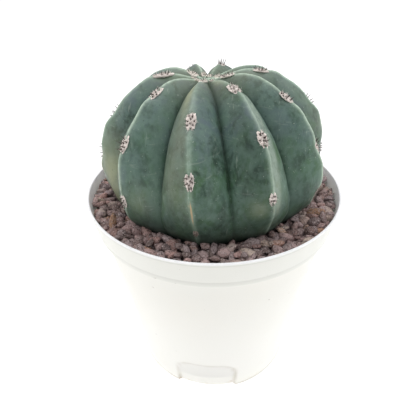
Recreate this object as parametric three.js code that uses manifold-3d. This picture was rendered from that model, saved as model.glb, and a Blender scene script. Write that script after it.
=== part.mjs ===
// A round ten-ribbed cactus in a white nursery pot, its potting mix topped with lava gravel.
// Millimetres, +Z up. The origin is the centre of the pot's foot, on the surface that it stands on.
// Azimuth is measured in degrees from -Y, the front, towards +X.
import * as THREE from "three";
import { ParametricGeometry } from "three/addons/geometries/ParametricGeometry.js";
import { mergeVertices } from "three/addons/utils/BufferGeometryUtils.js";
import Module from "manifold-3d";

const wasm = await Module();
wasm.setup();

// Pot
const potHeight = 90;
const rimRadius = 52.5;
const bandHeight = 9.6;
const bandTaper = 1.6; // how much the rim band narrows from its lip to its lower edge
const beadHeight = 3;
const beadStep = 0.5; // how far the bead stands back from the band
const beadRound = 0.4;
const sideTopRadius = 48.2; // just under the bead
const footRadius = 37.6;
const sideHollow = 0.35; // how far the side bows in between foot and bead
const wall = 0.8;
const footHeight = 7.5;
const footWall = 1.9;
const footBevel = 0.4;
const footInset = 1.2; // slope of the foot ring's inner side
const floorUnderside = 2.6;
const floorThickness = 1;
const recessCount = 4;
const recessAzimuth = -10; // middle of the first recess
const recessWidth = 43; // degrees
const recessHeight = 7;
const recessDepth = 0.9;
const recessLift = 0.8; // the way out for water under each recess
const drainCount = 6;
const drainRadius = 3.2;
const drainCircle = 25;
const roundSides = 48;

// Fill
const gap = 0.3; // between neighbouring pieces
const mixTop = 81.2;
const gravelCore = 84.9; // top of the closed part of the gravel bed, which the granules stand out of
const gravelSeed = 20;
const gravelTries = 12000;
const gravelInner = 33; // the scatter starts under the stem's edge
const gravelOuter = 50.4;
const granuleSpacing = 4.9;
const granuleRadius = [2.6, 3.1];
const granuleStretch = [0.85, 1.15];
const granuleFlatness = [0.75, 0.95];
const granuleLevel = [84.3, 85.2]; // heights of the granules' centres

// Cactus, in its own frame: the origin lies on its axis at the height of the pot's lip
const stemPlace = [0.8, 0, potHeight];
const stemLean = 3.8; // degrees, towards -X
const crestRadius = 44.2;
const crestMiddle = 14.5; // height of the widest point
const crownHeight = 34.6; // from the widest point to the top, without the dip
const roundness = 2.12; // exponent of the crest's superellipse
const crownDip = 5.6; // depth of the hollow at the growing point
const crownDipRadius = 13;
const furrowDepth = 9.1;
const furrowMiddle = 62; // degrees from the top, where the furrows are deepest
const furrowSpread = 50;
const furrowStart = 7; // degrees from the top, by which the furrows have opened
const keel = 0.35; // share of a rib's section that is straight-sided; the rest is curved
const flankCurve = 2.1; // exponent of the curved share
const stemEnd = 126; // degrees from the top, where the side turns under
const undersideLevel = -11.5;
const ribAzimuths = [-78, -46.5, -8.7, 26.5, 59, 92, 126, 165, 195, 242];
const ribShoulders = [0, 0.9, 0, -0.4, -0.4, -1.5, -2, -2, -2, 0]; // height added to each crest's shoulder
const shoulderRadius = 17;
const shoulderSpread = 12;
const stepsAcrossRib = 8;
const stepsDownRib = 16;
const neckRadius = 12;
const neckTaper = 0.75;
const neckLength = 12;
const neckOverlap = 4; // how far the neck reaches up into the stem

// Areoles and spines
const spineSeed = 7;
const areoleSpacing = 20.6; // along the crest
const firstAreole = [11.5, 22]; // along the crest from the top, on the even and the odd ribs
const crownAreole = [2, 4.5]; // the youngest one, close to the growing point
const crownAreoleSize = 0.5;
const lowestFullAreole = 66; // along the crest; the old ones below it are smaller
const lowestAreole = 74;
const oldAreoleSize = 0.75;
const areoleHalfSize = [1.6, 2.9, 1.15]; // across the rib, along it, and out of it
const spineCount = 5;
const crownSpineCount = 3;
const spineLength = 2.3;
const spineSpread = [0.8, 1.2]; // shortest and longest spine, as a share of that length
const spineRadius = 0.3;
const spineRoot = 0.9; // how deep a spine starts inside its areole
const spineTilt = [38, 60]; // degrees that the outer spines lean out
const spineRing = [0.6, 1.3]; // half size of the ring that the outer spines stand on

const radians = THREE.MathUtils.degToRad;
const between = ([low, high], share) => THREE.MathUtils.lerp(low, high, share);

// Repeatable random numbers between 0 and 1.
function randomSource(seed) {
  let state = seed;
  return () => {
    state = (state * 1664525 + 1013904223) % 4294967296;
    return state / 4294967296;
  };
}

// A closed geometry as a solid.
function solidOf(geometry) {
  const bare = geometry.clone();
  bare.deleteAttribute("normal");
  bare.deleteAttribute("uv");
  const merged = mergeVertices(bare, 1e-4);
  const vertProperties = merged.attributes.position.array;
  const triVerts = new Uint32Array(merged.index.array);
  return new wasm.Manifold(new wasm.Mesh({ numProp: 3, vertProperties, triVerts }));
}

// Several solids joined into one.
function joined(solids) {
  return solids.reduce((whole, solid) => whole.add(solid));
}

// A solid as a named mesh with its material.
function meshOf(name, solid, material) {
  const { vertProperties, triVerts } = solid.getMesh();
  const geometry = new THREE.BufferGeometry();
  geometry.setAttribute("position", new THREE.BufferAttribute(vertProperties, 3));
  geometry.setIndex(new THREE.BufferAttribute(triVerts, 1));
  geometry.computeVertexNormals();
  const mesh = new THREE.Mesh(geometry, material);
  mesh.name = name;
  return mesh;
}

// A solid turned about the Z axis from [radius, height] pairs, going out along the bottom and up the outside.
function turned(profile, sides = roundSides) {
  const points = profile.map(([r, z]) => new THREE.Vector2(r, z));
  const geometry = new THREE.LatheGeometry(points, sides);
  geometry.rotateX(Math.PI / 2);
  return solidOf(geometry);
}

// A ring with a flat bottom and top, its inner side a cone.
function ring(innerBottom, innerTop, outer, bottom, top) {
  return turned([
    [innerBottom, bottom],
    [outer, bottom],
    [outer, top],
    [innerTop, top],
    [innerBottom, bottom],
  ]);
}

// The pot's outer radius below the bead: a cone that bows in a little.
function sideRadius(z) {
  const share = z / (potHeight - bandHeight - beadHeight);
  return footRadius + (sideTopRadius - footRadius) * share - sideHollow * Math.sin(Math.PI * share);
}

// The pot's inside from the floor to the lip, drawn in by a clearance.
function insideProfile(clearance) {
  const bandBottom = potHeight - bandHeight;
  const sideTop = bandBottom - beadHeight;
  const bandRadius = rimRadius - bandTaper;
  const footTop = footHeight + footWall - wall;
  return [
    [sideRadius(0) - footWall, floorUnderside + floorThickness + clearance],
    [sideRadius(footHeight) - footWall, footHeight],
    [sideRadius(footTop) - wall, footTop],
    [sideRadius(sideTop / 2) - wall, sideTop / 2],
    [sideRadius(sideTop) - wall, sideTop],
    [bandRadius - beadStep - beadRound - wall, sideTop + wall],
    [bandRadius - wall, bandBottom + beadRound],
    [rimRadius - wall, potHeight],
  ].map(([r, z]) => [r - clearance, z]);
}

function pot() {
  const bandBottom = potHeight - bandHeight;
  const sideTop = bandBottom - beadHeight;
  const bandRadius = rimRadius - bandTaper;
  const lip = wall / 2;
  const outside = [
    [0, floorUnderside],
    [footRadius - footWall - footInset, floorUnderside],
    [footRadius - footWall - footBevel, 0],
    [footRadius - footBevel, 0],
    [footRadius, footBevel],
    [sideRadius(sideTop / 3), sideTop / 3],
    [sideRadius((sideTop * 2) / 3), (sideTop * 2) / 3],
    [sideTopRadius, sideTop],
    [bandRadius - beadStep - beadRound, sideTop + 2 * beadRound],
    [bandRadius - beadStep, bandBottom - beadRound],
    [bandRadius, bandBottom],
    [rimRadius, potHeight - lip],
    [rimRadius - lip, potHeight],
  ];
  const inside = insideProfile(0).reverse();
  inside[0][1] -= lip / 2;
  const shell = turned([...outside, ...inside, [0, floorUnderside + floorThickness]]);
  return shell.subtract(footRecesses()).subtract(drains());
}

// The shallow recesses between the feet, with the edge under each a little off the ground.
function footRecesses() {
  const below = -1;
  const outer = footRadius + footWall * 3;
  const bottomRadius = sideRadius(0) - recessDepth;
  const topRadius = sideRadius(recessHeight) - recessDepth;
  const panel = ring(bottomRadius, topRadius, outer, below, recessHeight);
  const liftRadius = footRadius - footWall * 3;
  const lift = ring(liftRadius, liftRadius, outer, below, recessLift);
  const sectors = [];
  for (let i = 0; i < recessCount; i++) {
    const middle = radians(recessAzimuth + (i * 360) / recessCount) - Math.PI / 2;
    const half = radians(recessWidth / 2);
    const reach = outer + wall;
    const outline = new THREE.Shape();
    outline.moveTo(0, 0);
    outline.lineTo(reach * Math.cos(middle - half), reach * Math.sin(middle - half));
    outline.absarc(0, 0, reach, middle - half, middle + half, false);
    outline.closePath();
    const depth = recessHeight - 4 * below;
    const sector = new THREE.ExtrudeGeometry(outline, { depth, bevelEnabled: false, curveSegments: 4 });
    sector.translate(0, 0, 2 * below);
    sectors.push(solidOf(sector));
  }
  return panel.add(lift).intersect(joined(sectors));
}

// The round holes in the floor.
function drains() {
  const holes = [];
  for (let i = 0; i < drainCount; i++) {
    const a = radians(recessAzimuth + ((i + 0.5) * 360) / drainCount);
    const hole = new THREE.CylinderGeometry(drainRadius, drainRadius, floorThickness * 5, 10);
    hole.rotateX(Math.PI / 2);
    hole.translate(drainCircle * Math.sin(a), -drainCircle * Math.cos(a), floorUnderside);
    holes.push(solidOf(hole));
  }
  return joined(holes);
}

// The room inside the pot between two levels, clear of the wall.
function fill(bottom, top) {
  const profile = insideProfile(gap);
  const radiusAt = (level) => {
    const i = Math.max(profile.findIndex(([, z]) => z >= level), 1);
    const [r, z] = profile[i];
    const [rBelow, zBelow] = profile[i - 1];
    return THREE.MathUtils.mapLinear(level, zBelow, z, rBelow, r);
  };
  const side = profile.filter(([, z]) => z > bottom && z < top);
  return turned([[0, bottom], [radiusAt(bottom), bottom], ...side, [radiusAt(top), top], [0, top]]);
}

function pottingMix() {
  return fill(floorUnderside + floorThickness + gap, mixTop).subtract(plantHole());
}

// The bed of gravel: a closed core, and one faceted granule at each place of a seeded scatter.
function lavaGravel() {
  const random = randomSource(gravelSeed);
  const places = [];
  for (let i = 0; i < gravelTries; i++) {
    const r = Math.sqrt(between([gravelInner ** 2, gravelOuter ** 2], random()));
    const a = random() * 2 * Math.PI;
    const place = new THREE.Vector2(r * Math.cos(a), r * Math.sin(a));
    if (places.every((other) => other.distanceTo(place) > granuleSpacing)) places.push(place);
  }
  const granules = places.map(({ x, y }) => {
    const size = between(granuleRadius, random());
    const granule = new THREE.IcosahedronGeometry(size, 0);
    granule.scale(between(granuleStretch, random()), 1, between(granuleFlatness, random()));
    granule.rotateX(random() * Math.PI);
    granule.rotateZ(random() * Math.PI);
    granule.translate(x, y, between(granuleLevel, random()));
    return solidOf(granule);
  });
  const bottom = mixTop + gap;
  const heaped = joined([fill(bottom, gravelCore), ...granules]);
  const bed = heaped.intersect(fill(bottom, potHeight)).subtract(stemHollow());
  return bed.decompose().sort((a, b) => b.volume() - a.volume())[0]; // without the loose scraps
}

// Radius and height of a rib's crest at an angle from the top: a superellipse with a dip at its crown.
function crestPoint(degrees) {
  const power = (x) => Math.sign(x) * Math.abs(x) ** (2 / roundness);
  const r = crestRadius * power(Math.sin(radians(degrees)));
  const dip = degrees < 90 ? crownDip * Math.exp(-((r / crownDipRadius) ** 2)) : 0;
  return [r, crestMiddle + crownHeight * power(Math.cos(radians(degrees))) - dip];
}

// How high a rib's section stands between furrow (0) and crest (1), at a share of its half width.
function ribSection(share) {
  return 1 - keel * share - (1 - keel) * share ** flankCurve;
}

// A point of the stem's surface, given by its rib, its place across it from -1 to 1, and its angle from the
// top, and drawn outwards by a clearance. The furrows lie under the crests, square to them.
function stemPoint(rib, across, degrees, clearance = 0) {
  const count = ribAzimuths.length;
  const neighbour = ribAzimuths[(rib + (across < 0 ? count - 1 : 1)) % count];
  const turn = THREE.MathUtils.euclideanModulo(neighbour - ribAzimuths[rib] + 180, 360) - 180;
  const azimuth = radians(ribAzimuths[rib] + (Math.abs(across) * turn) / 2);
  const [r, z] = crestPoint(degrees);
  const [rAfter, zAfter] = crestPoint(degrees + 0.1);
  const step = Math.hypot(rAfter - r, zAfter - z);
  const high = ribSection(Math.abs(across));
  const opened = THREE.MathUtils.smoothstep(degrees, 0, furrowStart);
  const depth = furrowDepth * Math.exp(-(((degrees - furrowMiddle) / furrowSpread) ** 2)) * opened;
  const inwards = depth * (1 - high) - clearance;
  const shoulder = ribShoulders[rib] * Math.exp(-(((r - shoulderRadius) / shoulderSpread) ** 2));
  const radius = Math.max(r - (inwards * (z - zAfter)) / step, 0);
  const height = z - (inwards * (rAfter - r)) / step + shoulder * high * opened;
  return new THREE.Vector3(radius * Math.sin(azimuth), -radius * Math.cos(azimuth), height);
}

// The ribbed stem, closed underneath and standing on its root neck, drawn outwards by a clearance.
function stem(clearance = 0) {
  const columns = ribAzimuths.length * stepsAcrossRib;
  const rows = stepsDownRib + 1;
  const surface = (u, v, target) => {
    const column = Math.round(u * columns) % columns;
    const nearest = Math.round(column / stepsAcrossRib);
    const rib = nearest % ribAzimuths.length;
    const across = (column / stepsAcrossRib - nearest) * 2;
    const row = Math.round((1 - v) * rows);
    const degrees = (stemEnd * row) / stepsDownRib;
    if (row === 0) target.set(0, 0, stemPoint(0, 0, 0, clearance).z);
    else if (row === rows) target.set(0, 0, undersideLevel - clearance);
    else target.copy(stemPoint(rib, across, degrees, clearance));
  };
  const skin = new ParametricGeometry(surface, columns, rows);
  const radius = neckRadius + clearance;
  const length = neckLength + clearance + neckOverlap;
  const neck = new THREE.CylinderGeometry(radius, radius * neckTaper, length, 16);
  neck.rotateX(Math.PI / 2);
  neck.translate(0, 0, undersideLevel + neckOverlap - length / 2);
  return solidOf(skin).add(solidOf(neck));
}

// Moves a solid from the cactus's own frame to the pot's.
function planted(solid) {
  return solid.rotate([0, -stemLean, 0]).translate(stemPlace);
}

// The room that the gravel leaves round the stem's ribs.
function stemHollow() {
  return planted(stem(gap));
}

// The plain hole in the mix: a shallow dish under the stem, and a socket for its neck.
function plantHole() {
  const edge = stemPoint(0, 0, stemEnd, gap);
  const dishRadius = Math.hypot(edge.x, edge.y) + gap;
  const socketRadius = neckRadius + gap;
  const hole = turned(
    [
      [0, undersideLevel - neckLength - 2 * gap],
      [socketRadius, undersideLevel - neckLength - 2 * gap],
      [socketRadius, undersideLevel - gap],
      [dishRadius, edge.z - gap],
      [dishRadius, 0],
      [0, 0],
    ],
    roundSides / 2,
  );
  return planted(hole);
}

// A woolly areole with its spines, on the crest of a rib.
function areole(rib, degrees, size, spines, random) {
  const azimuth = radians(ribAzimuths[rib]);
  const across = new THREE.Vector3(Math.cos(azimuth), Math.sin(azimuth), 0);
  const up = stemPoint(rib, 0, degrees - 1).sub(stemPoint(rib, 0, degrees + 1)).normalize();
  const out = new THREE.Vector3().crossVectors(across, up);
  const place = new THREE.Matrix4().makeBasis(across, up, out).setPosition(stemPoint(rib, 0, degrees));
  const pad = new THREE.SphereGeometry(size, 6, 3);
  pad.rotateX(Math.PI / 2);
  pad.scale(...areoleHalfSize);
  pad.applyMatrix4(place);
  const pieces = [solidOf(pad)];
  for (let i = 0; i < spines; i++) {
    const central = i === 0;
    const around = ((i + 0.4 * random()) * 2 * Math.PI) / spines;
    const tilt = central ? 0 : radians(between(spineTilt, random()));
    const spread = central ? 0 : size;
    const length = spineRoot + spineLength * size * between(spineSpread, random());
    const spine = new THREE.ConeGeometry(spineRadius, length, 3);
    spine.translate(0, length / 2, 0);
    spine.rotateX(Math.PI / 2);
    spine.rotateY(tilt);
    spine.rotateZ(around);
    const [ringAcross, ringAlong] = spineRing;
    const root = areoleHalfSize[2] * size * 0.8 - spineRoot;
    spine.translate(Math.cos(around) * ringAcross * spread, Math.sin(around) * ringAlong * spread, root);
    spine.applyMatrix4(place);
    pieces.push(solidOf(spine));
  }
  return joined(pieces);
}

// The angle from the top at which a crest reaches a length along itself.
function angleAt(length) {
  const step = 0.5;
  let travelled = 0;
  let degrees = 0;
  while (travelled < length) {
    const [r, z] = crestPoint(degrees);
    const [rAfter, zAfter] = crestPoint(degrees + step);
    travelled += Math.hypot(rAfter - r, zAfter - z);
    degrees += step;
  }
  return degrees;
}

// The whole plant: the stem, and its areoles at even steps down each crest, staggered from rib to rib.
function cactus() {
  const random = randomSource(spineSeed);
  const pieces = [stem()];
  for (let rib = 0; rib < ribAzimuths.length; rib++) {
    const parity = rib % 2;
    const youngest = angleAt(crownAreole[parity]);
    pieces.push(areole(rib, youngest, crownAreoleSize, crownSpineCount, random));
    for (let length = firstAreole[parity]; length < lowestAreole; length += areoleSpacing) {
      const size = length > lowestFullAreole ? oldAreoleSize : 1;
      pieces.push(areole(rib, angleAt(length), size, spineCount, random));
    }
  }
  return planted(joined(pieces));
}

const whitePlastic = new THREE.MeshStandardMaterial({ color: 0xeeece4, roughness: 0.45, metalness: 0 });
const peatMix = new THREE.MeshStandardMaterial({ color: 0x3a2a20, roughness: 1, metalness: 0 });
const lavaRock = new THREE.MeshStandardMaterial({ color: 0x75594f, roughness: 0.95, metalness: 0 });
const cactusSkin = new THREE.MeshStandardMaterial({ color: 0x476355, roughness: 0.6, metalness: 0 });

const pottedCactus = new THREE.Group();
pottedCactus.add(
  meshOf("pot", pot(), whitePlastic),
  meshOf("potting_mix", pottingMix(), peatMix),
  meshOf("lava_gravel", lavaGravel(), lavaRock),
  meshOf("cactus", cactus(), cactusSkin),
);

export default pottedCactus;
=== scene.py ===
import math

import bmesh
import bpy
import numpy as np
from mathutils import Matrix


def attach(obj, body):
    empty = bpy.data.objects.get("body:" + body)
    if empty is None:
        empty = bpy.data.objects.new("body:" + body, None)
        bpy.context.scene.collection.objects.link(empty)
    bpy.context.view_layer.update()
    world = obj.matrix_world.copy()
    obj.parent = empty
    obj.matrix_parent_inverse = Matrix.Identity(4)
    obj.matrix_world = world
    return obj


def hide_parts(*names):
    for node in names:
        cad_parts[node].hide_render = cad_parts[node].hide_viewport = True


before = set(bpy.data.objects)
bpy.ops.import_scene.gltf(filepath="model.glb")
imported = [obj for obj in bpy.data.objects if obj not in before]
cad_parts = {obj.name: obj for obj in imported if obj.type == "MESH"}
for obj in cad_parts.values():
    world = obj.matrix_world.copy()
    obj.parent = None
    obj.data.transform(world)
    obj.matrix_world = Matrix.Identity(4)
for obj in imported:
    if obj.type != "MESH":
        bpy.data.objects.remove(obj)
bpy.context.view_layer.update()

mm = 0.001  # shapes are worked out in millimetres and put into the mesh in metres
print("frame loaded, nodes:", sorted(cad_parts))


# Faces of a grid of points, numbered row by row: rows run down, columns run anticlockwise seen from above
# and close on themselves. With bothWays the last row joins the first.
def gridFaces(rows, columns, bothWays=False):
    row, column = np.meshgrid(np.arange(rows if bothWays else rows - 1), np.arange(columns), indexing="ij")
    below, beside = (row + 1) % rows, (column + 1) % columns
    here, under = row * columns, below * columns
    corners = [here + column, under + column, under + beside, here + beside]
    return np.stack(corners, -1).reshape(-1, 4)


# Points from radius, azimuth (in radians, 0 in front, growing anticlockwise seen from above) and height.
def fromAxis(radius, azimuth, height):
    return np.stack(np.broadcast_arrays(radius * np.sin(azimuth), -radius * np.cos(azimuth), height), -1)


# Even angles round a circle.
def around(count):
    return np.linspace(0, 2 * np.pi, count, endpoint=False)


# Ways made 1 long.
def unitWays(ways):
    return ways / np.linalg.norm(ways, axis=-1, keepdims=True)


# Many closed shapes at once, from an array (shape, row, column, xyz): each gets a pole in the middle of its
# first and of its last ring, and fans of triangles close it there.
def closedShapes(grids):
    count, rows, columns, _ = grids.shape
    poles = np.stack([grids[:, 0].mean(1), grids[:, -1].mean(1)], 1)
    points = np.concatenate([grids.reshape(count, -1, 3), poles], 1)
    step, last = rows * columns + 2, (rows - 1) * columns
    c = np.arange(columns)
    beside = (c + 1) % columns
    topFan = np.stack([np.full(columns, step - 2), c, beside], -1)
    bottomFan = np.stack([np.full(columns, step - 1), last + beside, last + c], -1)
    start = (np.arange(count) * step)[:, None, None]
    quads = (start + gridFaces(rows, columns)[None]).reshape(-1, 4)
    fans = (start + np.concatenate([topFan, bottomFan])[None]).reshape(-1, 3)
    return points.reshape(-1, 3), quads.tolist() + fans.tolist()


# One value for each point of each shape, with the poles after it, in the order that closedShapes gives.
def poleValues(values):
    poles = np.stack([values[:, 0].mean(1), values[:, -1].mean(1)], 1)
    return np.concatenate([values.reshape(len(values), -1), poles], 1).ravel()


# A new object, linked into the scene.
def added(name, data):
    made = bpy.data.objects.new(name, data)
    bpy.context.scene.collection.objects.link(made)
    return made


# A new piece of the object: its mesh in metres, with a number per point for each of its values. It takes the
# place of a CAD node.
def meshPiece(name, points, faces, material, replaced, values):
    mesh = bpy.data.meshes.new(name)
    mesh.from_pydata((np.asarray(points) * mm).tolist(), [], faces)
    for key, numbers in values.items():
        attribute = mesh.attributes.new(key, "FLOAT", "POINT")
        attribute.data.foreach_set("value", np.asarray(numbers, np.float32).ravel())
    mesh.shade_smooth()
    mesh.materials.append(material)
    piece = added(name, mesh)
    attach(piece, "root")
    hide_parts(replaced)
    print("made", name, len(points), "points", len(faces), "faces")
    return piece


# Soft noise around 0: the sum of sine waves in random directions, with lengths near the given one, divided by
# 1.6 times the usual size of such a sum.
def softNoise(points, length, seed, waves=14):
    rng = np.random.default_rng(seed)
    ways = unitWays(rng.normal(size=(waves, 3)))
    ways *= (2 * np.pi / (length * rng.uniform(0.65, 1.7, waves)))[:, None]
    return np.sin(points @ ways.T + rng.uniform(0, 2 * np.pi, waves)).sum(-1) / math.sqrt(waves / 2) / 1.6


# Rises from 0 at low to 1 at high: three times t squared less twice t cubed.
def smoothStep(x, low, high):
    t = np.clip((x - low) / (high - low), 0, 1)
    return t * t * (3 - 2 * t)


# Falls from 1 at low to 0 at high in the same way.
def smoothFall(x, low, high):
    return smoothStep(-x, -high, -low)


# A bell of height 1: e to the minus square of the distance from the middle, in widths.
def bell(x, middle, width):
    return np.exp(-(((x - middle) / width) ** 2))


# A material with one Principled shader, and short ways to add nodes to it.
class Finish:
    def __init__(self, name, settings):
        self.material = bpy.data.materials.new(name)
        self.material.use_nodes = True
        self.tree = self.material.node_tree
        self.shader = self.tree.nodes["Principled BSDF"]
        for socket, value in settings.items():
            self.shader.inputs[socket].default_value = value
        self.place = self.tree.nodes.new("ShaderNodeTexCoord").outputs["Object"]

    # A new node: each of its inputs is linked where a socket is given, and set where a value is.
    def node(self, kind, links=(), **settings):
        made = self.tree.nodes.new("ShaderNode" + kind)
        for key, value in settings.items():
            setattr(made, key, value)
        for socket, value in dict(links).items():
            if isinstance(value, bpy.types.NodeSocket):
                self.tree.links.new(value, made.inputs[socket])
            else:
                made.inputs[socket].default_value = value
        return made

    def noise(self, scale, detail=4, roughness=0.55, stretch=(1, 1, 1), distortion=0):
        place = self.node("Mapping", {"Vector": self.place, "Scale": stretch}).outputs[0]
        links = {"Vector": place, "Scale": scale, "Detail": detail, "Roughness": roughness}
        return self.node("TexNoise", {**links, "Distortion": distortion}).outputs["Fac"]

    def value(self, name):
        return self.node("Attribute", attribute_name=name).outputs["Fac"]

    # Brings a value from the range low to high into the range least to most, by a smooth step.
    def between(self, value, low, high, least=0.0, most=1.0):
        links = {"Value": value, "From Min": low, "From Max": high, "To Min": least, "To Max": most}
        return self.node("MapRange", links, interpolation_type="SMOOTHSTEP").outputs[0]

    def maths(self, operation, a, b):
        return self.node("Math", {0: a, 1: b}, operation=operation).outputs[0]

    def blend(self, share, first, second):
        made = self.node("Mix", data_type="RGBA")
        for socket, value in ((0, share), (6, first), (7, second)):
            if isinstance(value, bpy.types.NodeSocket):
                self.tree.links.new(value, made.inputs[socket])
            else:
                made.inputs[socket].default_value = value if socket == 0 else (*value, 1)
        return made.outputs[2]

    # Lays the look's layers over a colour, one by one. Each has its colour's name and the attribute that
    # gives its share, or None; then, where noise breaks it up, the noise, and its range with the shares at
    # the two ends.
    def layers(self, colour, look):
        for name, attribute, *broken in look["layers"]:
            shares = [self.value(attribute)] if attribute else []
            if broken:
                noise, reach = broken
                shares.append(self.between(self.noise(*noise), *reach))
            share = self.maths("MULTIPLY", *shares) if len(shares) == 2 else shares[0]
            colour = self.blend(share, colour, look[name])
        return colour

    def feed(self, socket, value):
        self.tree.links.new(value, self.shader.inputs[socket])

    # Ends the material with its colour and, where the look has them, an uneven roughness and bumps, each on
    # the one before. A bump is its noise, its depth in metres and its strength.
    def ended(self, colour, look):
        self.feed("Base Color", colour)
        if "uneven" in look:
            noise, reach = look["uneven"]
            self.feed("Roughness", self.between(self.noise(*noise), *reach))
        normal = None
        for noise, depth, strength in look.get("bumps", ()):
            made = self.node("Bump", {"Height": self.noise(*noise), "Distance": depth, "Strength": strength})
            if normal:
                self.tree.links.new(normal, made.inputs["Normal"])
            normal = made.outputs[0]
        if normal:
            self.feed("Normal", normal)
        return self.material


# A material that is no more than its look's layers over the look's base colour.
def layeredFinish(name, look):
    f = Finish(name, look["settings"])
    return f.ended(f.layers(look["base"], look), look)


# The camera: its place in metres, and its lens
cameraView = {
    "place": (0, -0.143369, 0.171780),
    "turn": (57.5540, 1.2011, 1.5094),  # degrees about X, Y and Z
    "lens": 34.65,
    "sensor": 36,
    "nearest": 0.01,
}
cameraData = bpy.data.cameras.new("camera")
cameraData.lens = cameraView["lens"]
cameraData.sensor_width = cameraView["sensor"]
cameraData.clip_start = cameraView["nearest"]
camera = added("camera", cameraData)
camera.location = cameraView["place"]
camera.rotation_euler = [math.radians(a) for a in cameraView["turn"]]
bpy.context.scene.camera = camera
print("camera placed")


# The cactus, in its own frame, with the origin on its axis at the height of the pot's lip
stemForm = {
    "place": (0.8, 0, 90),
    "lean": 3.8,  # degrees, towards -X
    "crestRadius": 44.2,
    "crestMiddle": 14.5,
    "crownHeight": 34.6,
    "roundness": 2.12,
    "crownDip": 5.6,
    "crownDipRadius": 13,
    "furrowDepth": 9.1,
    "furrowMiddle": 62,
    "furrowSpread": 50,
    "furrowStart": 7,
    "furrowFade": 0.4,  # how much shallower the furrows are at the soil than the CAD's
    "furrowFades": (84, 116),  # degrees from the top
    "keel": 0.35,
    "flankCurve": 2.1,
    "stemEnd": 126,
    "neckTop": -9.8,
    "neckEnd": -23.5,
    "neckRadii": (12, 9),
    "neckRows": 4,
    "undersideRows": 6,
    "ribAzimuths": (-78, -46.5, -8.7, 26.5, 59, 92, 126, 165, 195, 242),
    "ribShoulders": (1.5, 0.9, 0, -0.4, 0.5, 0, -1.1, -1.4, -0.5, 0.8),
    "shoulderRadius": 17,
    "shoulderSpread": 12,
    "crownTurns": (-6, 0, -5, 1.5, 0, 0, 0, 0, -2, -12),  # degrees that a crest turns on its way to the crown
    "crownTurnSpread": 26,
    "creaseDepth": 0.6,
    "creaseWidth": 0.6,
    "creaseStarts": (4, 20),
    "ridgeHeight": 0.3,
    "ridgeWidth": 0.5,
    "ridgeStarts": (6, 22),
    "notchFrom": 10,  # the areoles nearer the top than this have no notch
    "notchDepth": 0.55,
    "notchLength": 3.2,
    "notchWidth": 2.6,
    "chinHeight": 0.4,
    "chinLength": 3.2,
    "chinBelow": 5.5,
    "bulges": ((4, 67, 8, 1.5),),  # rib, length along it, spread and height of a swelling of the whole rib
    "lumpHeight": 0.3,
    "lumpLength": 26,
    "rippleHeight": 0.09,
    "rippleLength": 7,
    "lumpsStart": (3, 20),
    "stepsAcross": 44,
    "stepsDown": 196,
    "crowding": (0.11, 0.06),  # how much closer the steps lie at crests and furrows, and near the crown
    "seed": 3,
}
for key in ("ribAzimuths", "ribShoulders", "crownTurns"):
    stemForm[key] = np.array(stemForm[key], float)

# The areoles of each rib: how far along the crest from the top, how big, how far beside the crest line
areolePlaces = (
    ((4.6, 0.5, 0), (16.0, 1.22, 0), (38.8, 1.0, -1.8), (56.2, 0.95, -1.8), (73.0, 0.7, 0)),
    ((4.6, 0.5, 0), (24.2, 1.0, 0), (44.5, 1.0, 0), (66.0, 0.85, 0)),
    ((5.8, 0.95, 0), (33.5, 1.05, 0), (52.8, 0.9, 0), (73.5, 0.5, 0)),
    ((4.2, 0.48, 0), (20.8, 1.1, 0), (42.5, 0.92, 0), (63.0, 0.78, 0)),
    ((9.0, 0.9, 0), (32.8, 0.86, 0), (53.2, 0.78, 1.0), (71.0, 0.7, 0.6)),
    ((4.6, 0.5, 0), (20.2, 0.95, 0), (43.5, 0.9, 1.3), (65.0, 0.8, 0)),
    ((4.6, 0.5, 0), (33.0, 1.0, 0), (52.5, 1.0, 0), (71.0, 0.75, 0)),
    ((4.3, 0.5, 0), (22.8, 0.92, 0), (43.0, 1.0, 0), (63.5, 0.85, 0)),
    ((5.4, 0.6, 0), (29.0, 1.0, 0), (49.5, 1.0, 0), (69.0, 0.75, 0)),
    ((7.0, 0.85, 0), (31.0, 1.0, -1.6), (51.0, 0.95, 0), (70.0, 0.75, 0)),
)
areoleRib = np.concatenate([np.full(len(row), rib) for rib, row in enumerate(areolePlaces)])
areoleAlong, areoleSize, areoleBeside = np.concatenate([np.array(row, float) for row in areolePlaces]).T


# The crest's radius and height at an angle from the top: a superellipse with a dip at its crown.
def crestProfile(degrees):
    form = stemForm
    power = lambda x: np.sign(x) * np.abs(x) ** (2 / form["roundness"])
    r = form["crestRadius"] * power(np.sin(np.radians(degrees)))
    dip = np.where(degrees < 90, form["crownDip"] * bell(r, 0, form["crownDipRadius"]), 0)
    return r, form["crestMiddle"] + form["crownHeight"] * power(np.cos(np.radians(degrees))) - dip


profileAngles = np.linspace(0, stemForm["stemEnd"], 1261)
profileRadii, profileHeights = crestProfile(profileAngles)
profileLengths = np.concatenate([[0], np.cumsum(np.hypot(np.diff(profileRadii), np.diff(profileHeights)))])


# Half the angle from a rib's crest to the next one's, which lies on its left where across is below 0.
def halfGap(rib, across):
    azimuths = stemForm["ribAzimuths"]
    gap = (np.roll(azimuths, -1) - azimuths) % 360
    return np.radians(np.where(across < 0, np.roll(gap, 1)[rib], gap[rib]) / 2)


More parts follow.
